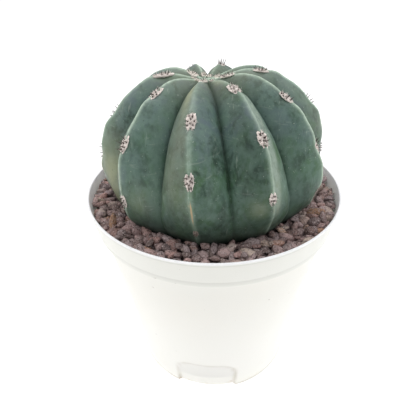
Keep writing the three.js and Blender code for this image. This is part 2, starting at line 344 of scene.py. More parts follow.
# A point of the stem: the crest's point, moved in square to the crest by the furrow's depth times one minus
# the rib's section, which falls from 1 on the crest to 0 in the furrow. The crease is a narrow groove in the
# furrow, the ridge a narrow lift on the crest, and each areole has a notch above it and a chin below it.
def stemPoints(rib, across, degrees):
    form = stemForm
    share = np.abs(across)
    turning = form["crownTurns"][rib] * bell(degrees, 0, form["crownTurnSpread"]) * (1 - share) ** 2
    azimuth = np.radians(form["ribAzimuths"][rib] + turning) + across * halfGap(rib, across)
    r, z = crestProfile(degrees)
    rAfter, zAfter = crestProfile(degrees + 0.1)
    stride = np.hypot(rAfter - r, zAfter - z)
    section = 1 - form["keel"] * share - (1 - form["keel"]) * share ** form["flankCurve"]
    opened = smoothStep(degrees, 0, form["furrowStart"])
    deep = bell(degrees, form["furrowMiddle"], form["furrowSpread"]) * opened
    halfWidth = halfGap(rib, across) * r
    crease = bell((1 - share) * halfWidth, 0, form["creaseWidth"]) * smoothStep(degrees, *form["creaseStarts"])
    besideRidge = 1 - bell(share * halfWidth, 0, form["ridgeWidth"])
    along = np.interp(degrees, profileAngles, profileLengths)
    notch, chin = 0, 0
    for owner, place in zip(areoleRib, areoleAlong):
        if place > form["notchFrom"]:
            notch = notch + bell(along, place, form["notchLength"]) * (rib == owner)
            chin = chin + bell(along, place + form["chinBelow"], form["chinLength"]) * (rib == owner)
    onCrest = bell(share * halfWidth, 0, form["notchWidth"])
    flat = 1 - form["furrowFade"] * smoothStep(degrees, *form["furrowFades"])
    inwards = form["furrowDepth"] * deep * flat * (1 - section) + form["creaseDepth"] * crease * deep * flat**2
    inwards = inwards + form["ridgeHeight"] * besideRidge * smoothStep(degrees, *form["ridgeStarts"])
    inwards = inwards + (form["notchDepth"] * notch - form["chinHeight"] * chin) * onCrest
    for owner, place, length, height in form["bulges"]:
        inwards = inwards - height * bell(along, place, length) * section * (rib == owner)
    shoulder = form["ribShoulders"][rib] * bell(r, form["shoulderRadius"], form["shoulderSpread"])
    radius = np.maximum(r - inwards * (z - zAfter) / stride, 0)
    height = z - inwards * (rAfter - r) / stride + shoulder * section * opened
    return fromAxis(radius, azimuth, height)


# From the cactus's own frame to the pot's: leaned towards -X about the Y axis, then moved up to the lip.
def planted(points):
    lean = math.radians(stemForm["lean"])
    x, y, z = np.moveaxis(points, -1, 0)
    sideways, upwards = x * math.cos(lean) - z * math.sin(lean), x * math.sin(lean) + z * math.cos(lean)
    return np.stack([sideways, y, upwards], -1) + np.array(stemForm["place"])


skinLook = {
    "deepGreen": (0.042, 0.091, 0.063),
    "slateGreen": (0.087, 0.136, 0.131),
    "mossGreen": (0.054, 0.124, 0.052),
    "tealCloud": (0.122, 0.196, 0.160),
    "greyBloom": (0.180, 0.200, 0.136),
    "paleBloom": (0.40, 0.42, 0.26),
    "bandPale": (0.235, 0.300, 0.245),
    "blueCloud": (0.088, 0.122, 0.148),
    "crestPale": (0.56, 0.69, 0.56),
    "crestCork": (0.46, 0.35, 0.21),
    "furrowDark": (0.014, 0.032, 0.021),
    # the colour of the painted shade where the skin meets the gravel
    "soilShadeColour": (0.008, 0.016, 0.011),
    "speckPale": (0.36, 0.42, 0.36),
    "settings": {"Roughness": 0.50, "IOR": 1.40},
    "patches": (  # colour, noise, its range and shares, and what is added to it in the upper half
        ("slateGreen", (48, 3, 0.5, (1, 1, 0.6), 0.8), (0.46, 0.62), 0.12),
        ("mossGreen", (80, 5, 0.6, (1, 1, 0.7), 0.5), (0.38, 0.58, 0, 0.8), -0.12),
    ),
    "layers": (  # colour, attribute, noise, its range and shares
        ("tealCloud", None, (150, 6, 0.62, (1, 1, 0.7), 0.6), (0.44, 0.68, 0, 0.62)),
        ("furrowDark", None, (190, 5, 0.62, (1, 1, 0.7), 0.5), (0.34, 0.54, 0.78, 0)),
        ("tealCloud", None, (520, 4, 0.62, (1, 1, 0.7), 0.3), (0.38, 0.64, 0, 0.5)),
        ("blueCloud", "upper", (62, 4, 0.6, (1, 1, 0.8), 0.6), (0.50, 0.64, 0, 0.75)),
        # the flanks' lighter tone, with the painted light beside the furrows
        ("tealCloud", "light"),
        ("furrowDark", "dark"),
        ("greyBloom", "bloom", (160, 5, 0.6), (0.25, 0.65, 0.6, 1)),
        ("paleBloom", "pale", (130, 4, 0.6), (0.25, 0.6, 0.5, 1)),
        ("bandPale", "band", (420, 4, 0.7, (1, 1, 0.5)), (0.3, 0.6, 0.35, 1)),
        ("speckPale", None, (420, 4, 0.65, (0.25, 0.25, 1.3), 0.8), (0.58, 0.72, 0, 0.22)),  # streaks
        ("speckPale", None, (700, 3, 0.6, (1, 0.35, 0.12), 0.4), (0.64, 0.76, 0, 0.35)),  # scratches
        ("speckPale", None, (1500, 2, 0.5), (0.69, 0.76, 0, 0.6)),  # specks
        ("furrowDark", None, (900, 3, 0.6), (0.26, 0.36, 0.45, 0)),  # pits
        # painted shade along the bottom of each furrow
        ("furrowDark", "furrow"),
        ("crestPale", "crest", (500, 4, 0.65), (0.3, 0.6, 0.55, 1)),
    ),
    "cork": ((700, 4, 0.7), (0.12, 0.38)),
    "uneven": ((240, 4, 0.6), (0.3, 0.7, 0.43, 0.60)),
    "bumps": (
        ((380, 5, 0.6, (1, 1, 0.3)), 0.0005, 0.35),
        ((2400, 3, 0.5), 0.0001, 0.4),
    ),
}

# Where marks lie on every rib: distances from the crest or the furrow and lengths along the crest from the
# top, all in millimetres
skinMarks = {
    "crestLine": 0.85,
    "crestGlow": (0.07, 1.8),  # strength and width of the paler skin beside the crest line
    "furrow": (0.35, 0.5),  # strength and width of the painted shade along the bottom of the furrow
    "furrowOpens": (5, 20),  # degrees from the top
    "furrowCloses": (70, 108),
    "flankStarts": (0.2, 1.8),
    "greyStarts": (-14, 10),  # round the length that ribMarks gives
    "greyEnds": (52, 76),
    "greyMost": 0.9,
    "crownGrey": 0.5,
    "crownGreyEnds": (8, 30),
    "bandMiddle": 1.9,
    "bandWidth": 2.0,
    "bandStarts": (8, 18),
    "bandEnds": (62, 74),
    "toneStarts": (0.2, 2.2),
    "paintedFurrowLight": 0.26,  # painted light on the flank beside the furrow, lifting the shade there
    "paintedFurrowLightPlace": (2.2, 1.8),  # its distance from the furrow, and its width
    "paintedFurrowLightStarts": (14, 30),
    "upperEnds": (26, 62),
    "soilShades": ((0.86, 87, 96), (0.5, 90, 110)),  # painted shade where the skin meets the gravel: strength, and the heights in the pot where it fades
    # the same painted shade on the underside and the neck, under the gravel
    "neckShade": 0.85,
}

# Corky marks: rib, length along the crest, place across the rib, half length, half width across, strength
corkMarks = (
    (2, 63.2, 0.005, 5.0, 0.022, 1.0),
    (2, 60.0, -0.045, 4.0, 0.016, 0.6),
    (2, 67.5, 0.01, 3.0, 0.02, 0.5),
    (3, 66.0, 0.0, 5.0, 0.015, 0.45),
    (1, 55.0, 0.0, 8.0, 0.02, 0.45),
    (0, 60.0, 0.03, 9.0, 0.05, 0.45),
    (5, 56.0, 0.0, 9.0, 0.03, 0.6),
    (4, 62.0, 0.0, 7.0, 0.02, 0.4),
    (7, 58.0, 0.02, 7.0, 0.03, 0.5),
    (9, 60.0, 0.0, 8.0, 0.03, 0.5),
)

# How each rib is marked: how grey its left and its right flank is and from how far along; how pale a band
# lies on each side of its crest; how strong and how wide (in millimetres) its pale crest line is; and how
# much lighter or darker than the others its left and its right flank is
ribMarks = (
    (0.00, 0.55, 48, 0.0, 0.1, 0.8, 0.50, 0.0, -0.12),
    (0.35, 0.00, 20, 0.2, 0.0, 1.0, 0.50, 0.0, 0.25),
    (0.42, 0.00, 0, 0.1, 0.0, 0.3, 0.90, -0.22, -0.08),
    (0.00, 0.10, 30, 0.0, 1.00, 0.5, 0.55, -0.36, 0.0),
    (0.00, 0.30, 0, 0.0, 0.5, 1.0, 0.52, 0.10, -0.15),
    (0.20, 0.20, 0, 0.2, 0.1, 0.9, 0.55, -0.05, -0.1),
    (0.10, 0.30, 30, 0.2, 0.1, 0.8, 0.45, 0.0, 0.1),
    (0.20, 0.10, 20, 0.0, 0.2, 0.4, 0.60, -0.1, 0.0),
    (0.10, 0.30, 40, 0.2, 0.0, 0.8, 0.45, 0.1, 0.0),
    (0.30, 0.30, 30, 0.1, 0.2, 0.8, 0.45, 0.0, -0.1),
)

# Pale, yellowish places on flanks, with the same columns as the corky marks
paleMarks = (
    (0, 68, 0.55, 13, 0.5, 0.9),
    (3, 63, 0.16, 7, 0.10, 0.5),
    (3, 66, -0.34, 3.5, 0.22, 0.25),
    (1, 66, 0.45, 7, 0.3, 0.2),
    (6, 68, 0.3, 9, 0.4, 0.4),
    (2, 15, -0.35, 13, 0.25, 0.75),
    (3, 9, -0.1, 6, 0.4, 0.4),
)


# The skin's colour: patches of green that change from low to high on the stem, the layers, then the corky
# marks, broken up by noise, and the painted shade where the skin meets the gravel.
def cactusSkinFinish():
    look = skinLook
    f = Finish("cactus_skin", look["settings"])
    green = look["deepGreen"]
    for name, noise, reach, lift in look["patches"]:
        lifted = f.maths("ADD", f.noise(*noise), f.maths("MULTIPLY", f.value("upper"), lift))
        green = f.blend(f.between(lifted, *reach), green, look[name])
    corkNoise, corkReach = look["cork"]
    cork = f.between(f.maths("MULTIPLY", f.value("cork"), f.noise(*corkNoise)), *corkReach)
    green = f.blend(cork, f.layers(green, look), look["crestCork"])
    # last, the painted shade near the soil
    return f.ended(f.blend(f.value("soil"), green, look["soilShadeColour"]), look)


# Closed shapes in the cactus's own frame become one piece of the object.
def cactusPiece(name, grids, finish, values):
    points, faces = closedShapes(planted(grids))
    return meshPiece(name, points, faces, finish, "cactus", values)


# How strong the marks of a list are at each point: for each, a bell along the rib times a bell across it.
def markShare(marks, rib, across, along):
    share = 0
    for owner, place, sideways, halfLength, halfWidth, strength in marks:
        spot = bell(along, place, halfLength) * bell(across, sideways, halfWidth)
        share = np.maximum(share, strength * spot * (rib == owner))
    return share


# The numbers that the skin's material reads, each 0 to 1 and worked out from a point's distance from its
# crest and from its furrow, its length along the rib and its height in the pot.
def skinValues(rib, across, degrees, height):
    marks, left = skinMarks, across < 0
    halfWidth = halfGap(rib, across) * crestProfile(degrees)[0]
    fromCrest, fromFurrow = np.abs(across) * halfWidth, (1 - np.abs(across)) * halfWidth
    along = np.interp(degrees, profileAngles, profileLengths)
    ownMarks = np.array(ribMarks)[rib].T
    greyLeft, greyRight, greyFrom, bandLeft, bandRight, lineStrength, lineWidth, toneLeft, toneRight = ownMarks
    glow, glowWidth = marks["crestGlow"]
    crest = marks["crestLine"] * bell(fromCrest, 0, lineWidth) + glow * bell(fromCrest, 0, glowWidth)
    # painted shade along the bottom of the furrow, where the furrow is open
    furrowStrength, furrowWidth = marks["furrow"]
    furrow = furrowStrength * bell(fromFurrow, 0, furrowWidth)
    furrow = furrow * smoothStep(degrees, *marks["furrowOpens"]) * smoothFall(degrees, *marks["furrowCloses"])
    flank = np.where(left, greyLeft, greyRight) * smoothStep(fromCrest, *marks["flankStarts"])
    greyStart, greyFull = marks["greyStarts"]
    flank = flank * smoothStep(along, greyFrom + greyStart, greyFrom + greyFull)
    bloom = np.clip(flank * smoothFall(along, *marks["greyEnds"]), 0, marks["greyMost"])
    fromBand = (fromCrest - marks["bandMiddle"]) / marks["bandWidth"]
    band = np.where(left, bandLeft, bandRight) * np.exp(-(fromBand**4))
    band = band * smoothStep(along, *marks["bandStarts"]) * smoothFall(along, *marks["bandEnds"])
    tone = np.where(left, toneLeft, toneRight) * smoothStep(fromCrest, *marks["toneStarts"])
    # painted light: the flank lightened beside the furrow, against the shade there; it joins the flank's tone
    lighter = bell(fromFurrow, *marks["paintedFurrowLightPlace"]) * smoothStep(along, *marks["paintedFurrowLightStarts"])
    tone = tone + marks["paintedFurrowLight"] * lighter
    # painted shade near the gravel, fading upwards
    soilShading = [strength * smoothFall(height, *heights) for strength, *heights in marks["soilShades"]]
    values = {
        "crest": lineStrength * crest,
        "furrow": furrow,
        "bloom": bloom + marks["crownGrey"] * smoothFall(along, *marks["crownGreyEnds"]),
        "band": np.clip(band, 0, 1),
        "pale": markShare(paleMarks, rib, across, along),
        "cork": markShare(corkMarks, rib, across, along),
        "soil": np.max(soilShading, 0),
        "light": np.maximum(tone, 0),
        "dark": np.maximum(-tone, 0),
        "upper": smoothFall(along, *marks["upperEnds"]),
    }
    return {key: value * np.ones_like(fromCrest) for key, value in values.items()}


# The skin's grid: the columns lie closer together at crests and furrows, by a sine added to their even steps;
# the rows go down from the crown to where the side turns under, then in along the underside and down the
# neck.
def cactusSkin():
    form = stemForm
    ribs = len(form["ribAzimuths"])
    even = np.arange(form["stepsAcross"]) / form["stepsAcross"] * 2 - 1
    crowdAcross, crowdDown = form["crowding"]
    across = np.tile(even - crowdAcross * np.sin(2 * np.pi * even), ribs)
    rib = np.repeat(np.arange(ribs), form["stepsAcross"])
    share = np.linspace(0, 1, form["stepsDown"] + 1)[1:, None]
    degrees = form["stemEnd"] * (share - crowdDown * np.sin(np.pi * share))
    grid = stemPoints(rib[None], across[None], degrees)
    lumps = form["lumpHeight"] * softNoise(grid, form["lumpLength"], form["seed"])
    ripples = form["rippleHeight"] * softNoise(grid, form["rippleLength"], form["seed"] + 1)
    outward = unitWays(grid - [0, 0, form["crestMiddle"]])
    grid = grid + outward * ((lumps + ripples) * smoothStep(degrees, *form["lumpsStart"]))[..., None]
    rim = grid[-1]
    azimuth = np.arctan2(rim[:, 0], -rim[:, 1])
    neckTop, neckFoot = form["neckRadii"]
    ringTop = fromAxis(neckTop, azimuth, form["neckTop"])
    ringFoot = fromAxis(neckFoot, azimuth, form["neckEnd"])
    inwards = np.linspace(0, 1, form["undersideRows"] + 1)[1:, None, None]
    downwards = np.linspace(0, 1, form["neckRows"] + 1)[1:, None, None]
    whole = np.concatenate([grid, rim + (ringTop - rim) * inwards, ringTop + (ringFoot - ringTop) * downwards])

    values = skinValues(rib, across, degrees, planted(grid)[..., 2])
    for key in values:
        # the underside and the neck take the painted shade of the soil
        neckShading = skinMarks["neckShade"] if key == "soil" else 0.0
        below = np.full((len(whole) - len(grid), len(across)), neckShading)
        values[key] = poleValues(np.concatenate([values[key], below])[None])
    return cactusPiece("cactus_skin", whole[None], cactusSkinFinish(), values)


skinPiece = cactusSkin()


# The areoles: woolly pads with hairs and spines, on the crests
woolForm = {
    "halfSize": (1.62, 3.35, 0.55),  # across the rib, along it, and out of it
    "point": 0.2,  # how much narrower a pad is at its lower end than at its upper
    "lumps": ((0.06, 2.2), (0.09, 0.8)),  # height as a share of the size, and length
    "steps": (22, 40),
    "poleGaps": (0.03, 0.1),  # how far from the poles a pad's first and last ring lie, in radians
    "holeDepth": 0.4,
    "holeRadius": 0.36,
    "youngHoles": 0.3,  # how much of the holes' dark shows in young wool
    "sink": 0.22,  # how deep a pad's middle lies under the skin
    "young": (2, 14),  # lengths from the top between which the wool stops being young
    "old": (66, 74),
    "oldMost": 0.85,
    "hairs": 90,
    "hairLength": (0.35, 0.8),
    "hairRadius": 0.07,
    "hairEdge": 0.97,  # how near a pad's edge the outermost hairs stand
    "hairRoot": 0.8,  # height of a hair's root, as a share of the pad's
    "hairLean": (0.9, 0.8, 0.55),
    "hairStray": 0.45,
    "hairSteps": (4, 3),
    "hairBlunt": 0.5,  # the power by which the radius falls to the tip
    "sizeSpread": (0.95, 1.05),
    "seed": 11,
}
spineForm = {
    "rings": (  # spines, their stray in steps round the ring, how far out they stand, their tilt in degrees
        (7, 0.25, (0.48, 0.72), (6, 34)),
        (2, 0.2, (0.12, 0.3), (2, 16)),
    ),
    "length": (1.0, 2.0),
    "lowPlaces": (60, 0.72),  # farther along a rib than this, and how long the spines are there
    "highPlaces": (35, 0.7),  # nearer the top than this, and how long
    "otherPlaces": 1.1,
    "radius": 0.21,
    "radiusSpread": (0.8, 1.2),
    "bend": (0.18, -0.1),
    "bendSpread": (-0.3, 1),
    "root": 0.5,
    "missing": 0.08,
    "youngMissing": 0.5,
    "youngUntil": 8,
    "tallRib": 7,  # this rib's upper spines reach highest
    "tallPlaces": (20, 30),
    "tallReach": 1.3,
    "steps": (6, 7),
    "blunt": 0.8,
    "seed": 12,
}


# The frame of each areole: its place on the rib, and the ways across the rib, up along it and out of it.
def areoleFrames():
    degrees = np.interp(areoleAlong, profileLengths, profileAngles)
    across = areoleBeside / (halfGap(areoleRib, areoleBeside) * crestProfile(degrees)[0])
    place = stemPoints(areoleRib, across, degrees)
    up = stemPoints(areoleRib, across, degrees - 1) - stemPoints(areoleRib, across, degrees + 1)
    side = stemPoints(areoleRib, across + 0.05, degrees) - stemPoints(areoleRib, across - 0.05, degrees)
    up = unitWays(up)
    out = unitWays(np.cross(side, up))
    return place - out * woolForm["sink"], np.stack([np.cross(up, out), up, out], 1)


sizeDraws = np.random.default_rng(woolForm["seed"])
areoleSize = areoleSize * sizeDraws.uniform(*woolForm["sizeSpread"], len(areoleSize))
areolePlace, areoleAxes = areoleFrames()
areoleYoung = smoothFall(areoleAlong, *woolForm["young"])
areoleOld = woolForm["oldMost"] * smoothStep(areoleAlong, *woolForm["old"])


# Where each areole's spines stand, as places (areole, spine, xy) inside a circle of radius 1: a ring, and a
# few in the middle, each at even steps with some stray.
def spinePlaces():
    form = spineForm
    rng = np.random.default_rng(form["seed"])
    places, turns, reaches = len(areoleRib), [], []
    for count, stray, reach, _ in form["rings"]:
        steps = np.arange(count) + rng.uniform(-stray, stray, (places, count)) + rng.uniform(0, 1, (places, 1))
        turns.append(steps * 2 * np.pi / count)
        reaches.append(rng.uniform(*reach, (places, count)))
    turn, reach = np.concatenate(turns, 1), np.concatenate(reaches, 1)
    return np.stack([reach * np.cos(turn), reach * np.sin(turn)], -1)


spineFeet = spinePlaces()


# Turns ways in the areoles' own frames, one row for each, into the stem's frame.
def turnedOut(ways, owner):
    return np.einsum("nk,nkj->nj", ways, areoleAxes[owner])


# Thin tapering rods: a straight line from the root plus a bend that grows with the square of the way along
# it, inside a ring whose radius falls to the tip. The rows run from the tip to the root.
def rods(start, way, bend, length, radius, steps, blunt):
    rows, columns = steps
    t = np.linspace(1, 0, rows)[None, :, None]
    helper = np.where(np.abs(way[:, 2:3]) > 0.8, [[1.0, 0, 0]], [[0, 0, 1.0]])
    first = unitWays(np.cross(way, helper))
    second = np.cross(way, first)
    turn = around(columns)
    ring = np.cos(turn)[None, :, None] * first[:, None] + np.sin(turn)[None, :, None] * second[:, None]
    reach = length[:, None, None]
    line = start[:, None] + way[:, None] * reach * t + bend[:, None] * reach * t**2
    thick = radius[:, None, None] * np.maximum(1 - t, 0.04) ** blunt
    return line[:, :, None] + ring[:, None] * thick[..., None]


woolLook = {
    "base": (0.86, 0.77, 0.72),
    "greyWool": (0.66, 0.59, 0.55),
    "dirt": (0.30, 0.22, 0.18),
    "youngWool": (0.88, 0.82, 0.74),
    "oldWool": (0.16, 0.12, 0.09),
    "holeDark": (0.07, 0.05, 0.045),
    "layers": (
        ("greyWool", None, (420, 3, 0.6), (0.35, 0.65)),
        ("dirt", None, (1900, 3, 0.6), (0.55, 0.75, 0, 0.4)),
        ("youngWool", "young"),
        ("oldWool", "old"),
        ("holeDark", "hole"),
    ),
    "bumps": (((3000, 4, 0.7), 0.0002, 0.8),),
    "settings": {"Roughness": 0.95, "Sheen Weight": 0.2},
}
spineLook = {
    "base": (0.018, 0.012, 0.010),
    "brownHorn": (0.070, 0.040, 0.028),
    "tipHorn": (0.13, 0.10, 0.08),
    "layers": (
        ("brownHorn", None, (900, 2, 0.5), (0.4, 0.62)),
        ("tipHorn", "tip"),
    ),
    "settings": {"Roughness": 0.5},
}


# The wool's numbers for its material: each shape's age, and how much of a hole each point lies in.
def woolValues(young, old, hole):
    whole = np.ones(hole.shape)
    ages = {"young": young, "old": old}
    values = {key: poleValues(age[:, None, None] * whole) for key, age in ages.items()}
    return {**values, "hole": poleValues(hole)}


# The pads: ellipsoids, narrower at their lower end (the width times 1 + point * height), roughened by soft
# noise and dimpled round every spine.
def areolePads(finish):
    form = woolForm
    half = np.array(form["halfSize"])
    rows, columns = form["steps"]
    outerGap, innerGap = form["poleGaps"]
    polar = np.linspace(outerGap, np.pi - innerGap, rows)[:, None]
    turn = around(columns)[None]
    x, y = np.sin(polar) * np.cos(turn), np.sin(polar) * np.sin(turn)
    ball = np.stack(np.broadcast_arrays(x, y, np.cos(polar)), -1)
    apart = (ball[None, :, :, None, :2] - spineFeet[:, None, None]) * half[:2]
    nearest = np.hypot(apart[..., 0], apart[..., 1]).min(-1)
    hole = bell(nearest, 0, form["holeRadius"]) * (ball[..., 2] > 0)
    size = areoleSize[:, None, None, None]
    ball[..., 0] *= 1 + form["point"] * ball[..., 1]
    local = ball * half * size
    toStem = lambda v: np.einsum("nrck,nkj->nrcj", v, areoleAxes) + areolePlace[:, None, None]
    seed = form["seed"] + 2
    rough = 1 + sum(height * softNoise(toStem(local), length, seed) for height, length in form["lumps"])
    pads = toStem(local * rough[..., None] - hole[..., None] * size * [0, 0, form["holeDepth"]])
    shown = 1 - (1 - form["youngHoles"]) * areoleYoung
    values = woolValues(areoleYoung, areoleOld, hole * shown[:, None, None])
    return cactusPiece("areole_pads", pads, finish, values)


# The hairs: rods with their roots spread evenly over the pads, leaning out with some stray.
def areoleHairs(finish):
    form = woolForm
    rng = np.random.default_rng(form["seed"] + 1)
    owner = np.repeat(np.arange(len(areoleRib)), form["hairs"])
    n = len(owner)
    reach = np.sqrt(rng.uniform(0.02, 1, n)) * form["hairEdge"]
    turn = rng.uniform(0, 2 * np.pi, n)
    x, y = reach * np.cos(turn), reach * np.sin(turn)
    root = form["hairRoot"] * np.sqrt(np.maximum(1 - reach**2, 0.02))
    foot = np.stack([x, y, root], -1) * form["halfSize"] * areoleSize[owner][:, None]
    way = np.stack([x, y, np.ones(n)], -1) * form["hairLean"] + rng.normal(0, form["hairStray"], (n, 3))
    bend = rng.normal(0, form["hairStray"], (n, 3))
    foot, way, bend = (turnedOut(v, owner) for v in (foot, way, bend))
    foot, way = foot + areolePlace[owner], unitWays(way)
    length = rng.uniform(*form["hairLength"], n) * areoleSize[owner]
    hairs = rods(foot, way, bend, length, np.full(n, form["hairRadius"]), form["hairSteps"], form["hairBlunt"])
    values = woolValues(areoleYoung[owner], areoleOld[owner], np.zeros(hairs.shape[:3]))
    return cactusPiece("areole_hairs", hairs, finish, values)


# The spines: short cones that lean out, the ones in the ring more than the middle ones; each bends a little.
def areoleSpines():
    form = spineForm
    rng = np.random.default_rng(form["seed"] + 1)
    places, each = spineFeet.shape[:2]
    owner = np.repeat(np.arange(places), each)
    n = len(owner)
    spot = spineFeet.reshape(-1, 2)
    (outer, *_, outerTilt), (*_, innerTilt) = form["rings"]
    isOuter = np.tile(np.arange(each), places) < outer
    aside = unitWays(spot)
    tilt = np.where(isOuter, rng.uniform(*outerTilt, n), rng.uniform(*innerTilt, n))
    tilt = np.radians(tilt)[:, None]
    foot = np.column_stack([spot * woolForm["halfSize"][:2], np.full(n, 0.05)])
    way = np.concatenate([np.sin(tilt) * aside, np.cos(tilt)], 1)
    outBend, upBend = form["bend"]
    bend = np.column_stack([outBend * aside, upBend * np.ones(n)])
    bend = bend * rng.uniform(*form["bendSpread"], n)[:, None]
    length = form["root"] + rng.uniform(*form["length"], n)
    foot = turnedOut(foot * areoleSize[owner][:, None], owner) + areolePlace[owner]
    (low, lowReach), (high, highReach) = form["lowPlaces"], form["highPlaces"]
    reach = np.where(areoleAlong < high, highReach, form["otherPlaces"])
    reach = np.where(areoleAlong > low, lowReach, reach)
    tallFrom, tallTo = form["tallPlaces"]
    isTall = (areoleRib == form["tallRib"]) & (areoleAlong > tallFrom) & (areoleAlong < tallTo)
    reach[isTall] = form["tallReach"]
    length = length * (reach * np.minimum(areoleSize + 0.15, 1.05))[owner]
    radius = form["radius"] * rng.uniform(*form["radiusSpread"], n) * np.minimum(areoleSize[owner] + 0.1, 1)
    missing = np.where(areoleAlong < form["youngUntil"], form["youngMissing"], form["missing"])
    keep = rng.uniform(size=n) > missing[owner]
    parts = [part[keep] for part in (foot, turnedOut(way, owner), turnedOut(bend, owner), length, radius)]
    spines = rods(*parts, form["steps"], form["blunt"])
    tip = np.linspace(1, 0, form["steps"][0])[None, :, None] ** 3 * np.ones(spines.shape[:3]) * 0.5
    finish = layeredFinish("spine_horn", spineLook)
    return cactusPiece("areole_spines", spines, finish, {"tip": poleValues(tip)})


areoleWool = layeredFinish("areole_wool", woolLook)
areolePads(areoleWool)
areoleHairs(areoleWool)
areoleSpines()


# The pot, with its foot at 0
potForm = {
    "height": 90,
    "rimRadius": 52.5,
    "bandHeight": 9.6,
    "bandTaper": 1.6,
    "lipHeight": 1.1,
    "lipStep": 0.28,
    "lipRound": 0.38,
    "beadHeight": 3,
    "beadStep": 0.5,
    "beadRound": 0.4,
    "sideTopRadius": 48.2,
    "footRadius": 37.6,
    "sideHollow": 0.35,
    "sideEnds": 3,  # how far from its ends the side's first and last level lie
    "sideLevels": 18,
    "closeLevels": (  # from, to and how many levels more, where a recess begins or ends
        (22.2, 17.4, 13),
        (9, 6, 5),
        (4.4, 1.2, 5),
    ),
    "wall": 0.8,
    "footHeight": 7.5,
    "footWall": 1.9,
    "floorUnderside": 2.6,
    "floorThickness": 1,
    "floorRings": (32, 18, 0.4),
    "recessCount": 4,
    "recessAzimuth": -5,
    "recessWidth": 40,
    "recessHeight": 19.0,
    "recessCorner": 7.5,
    "recessDepths": (0.8, 0.45),  # in the thick foot, and above it
    "recessShallows": (6, 13),  # the heights between which the one becomes the other
    "recessLift": 0.8,
    "recessSoft": 0.9,  # how wide a recess's edge is, in millimetres
    "drainCount": 6,
    "drainRadius": 3.2,
    "drainCircle": 25,
    "drainAzimuth": -10,
    "drainSides": 32,
    "drainCut": 6,  # the cutters' length
    "columns": 360,
}


# The outer radius under the bead: a cone that bows in by a sine between foot and bead.
def sideRadius(z):
    form = potForm
    share = z / (form["height"] - form["bandHeight"] - form["beadHeight"])
    widening = (form["sideTopRadius"] - form["footRadius"]) * share
    return form["footRadius"] + widening - form["sideHollow"] * np.sin(np.pi * share)


# The inner radius behind the band: the band's cone less the wall.
def innerRadius(z):
    form = potForm
    share = np.clip((form["height"] - z) / form["bandHeight"], 0, 1.2)
    return form["rimRadius"] - form["wall"] - form["bandTaper"] * share


# A line through corners [radius, height, rounding], each corner replaced by a curve that leaves and joins the
# two straight lines at the rounding's distance: the corner's weight along it is 2t(1-t), the ends' (1-t)^2
# and t^2.
def roundedLine(corners, steps=5):
    corners = np.array(corners, float)
    before, here, after = corners[:-2, :2], corners[1:-1, :2], corners[2:, :2]
    back, ahead = before - here, after - here
    backLength = np.linalg.norm(back, axis=1, keepdims=True)
    aheadLength = np.linalg.norm(ahead, axis=1, keepdims=True)
    cut = np.minimum(corners[1:-1, 2:3], 0.48 * np.minimum(backLength, aheadLength))
    leave, join = here + back / backLength * cut, here + ahead / aheadLength * cut
    t = np.linspace(0, 1, steps)[None, :, None]
    curves = leave[:, None] * (1 - t) ** 2 + here[:, None] * 2 * t * (1 - t) + join[:, None] * t**2
    return np.concatenate([corners[:1, :2], curves.reshape(-1, 2), corners[-1:, :2]])


potLook = {
    "base": (0.87, 0.85, 0.785),
    "coolWhite": (0.86, 0.855, 0.80),
    # painted shade: the band, bead and lip greyer than the side
    "bandShadeWhite": (0.81, 0.808, 0.755),
    # painted light: the lower pot whiter, as lit by the bright floor
    "floorLitWhite": (0.95, 0.935, 0.875),
    "rimWhite": (0.88, 0.88, 0.90),
    # the colour of the painted shade lines under the pot's steps
    "stepShadeGrey": (0.60, 0.60, 0.56),
    # painted shadow round the recesses, and dirt with painted contact shadow at the foot's bottom edge
    "shadeAndGrimeBrown": (0.42, 0.36, 0.27),
    "dustTan": (0.50, 0.36, 0.22),
    "speckGrey": (0.45, 0.42, 0.36),
    "layers": (
        ("coolWhite", None, (22, 3, 0.5), (0.3, 0.7)),
        # painted shade on the band, bead and lip
        ("bandShadeWhite", "band"),
        # painted light from the floor, whiter low down
        ("floorLitWhite", "lower"),
        ("rimWhite", "rim"),
        # painted shade lines under the pot's steps
        ("stepShadeGrey", "stepShade"),
        # painted shadow round the recesses, and dirt with painted contact shadow where the foot stands
        ("shadeAndGrimeBrown", "shadeAndGrime", (90, 4, 0.6), (0.35, 0.62, 0.45, 1)),
        # dust low on the foot, and the recess corners' dirt with painted shade
        ("dustTan", "foot", (260, 4, 0.7), (0.50, 0.75)),
        ("speckGrey", None, (620, 1, 0.4), (0.785, 0.82, 0, 0.5)),
    ),
    "uneven": ((180, 4, 0.6), (0.3, 0.7, 0.33, 0.46)),
    "bumps": (
        ((140, 5, 0.6, (1, 1, 0.35)), 0.0003, 0.12),
        ((2600, 2, 0.5), 0.00006, 0.25),
    ),
    "settings": {
        "Roughness": 0.38,
        "IOR": 1.49,
        "Subsurface Weight": 0.35,
        "Subsurface Radius": (1, 1, 0.95),
        "Subsurface Scale": 0.0015,
    },
}

# Where marks lie on the pot: strengths, widths, and the heights between which a mark starts or ends
potMarks = {
    "rim": (-0.9, -0.3),  # from the lip
    "band": (-1, 1),  # painted shade on the band, bead and lip, greyer than the side: from the side's upper end
    # painted light from the floor: full below the first height, none above the second
    "lower": (20, 74),
    "stepShade": (0.8, 0.22),
    "stepShadeDrops": (0.15, 0.25, 0.35),  # painted shade lines just under the lip's step, the band's lower end and the side's upper end
    # painted shadow along the recess's edges: strength and width
    "recessEdge": (0.5, 0.75),
    "recessEdgeEnds": (21, 24),
    # a dark line where the foot stands, partly dirt and partly painted contact shadow: strength and height
    "standing": (0.9, 1.0),
    # brown at the lower corners of each recess, partly dirt and partly painted shade in the corner
    "cornerDirtAndShade": (0.6, 2.2),
    "cornerDirtAndShadeEnds": (1, 6),
    "dust": 0.5,
    "dustEnds": (0.3, 5),
}


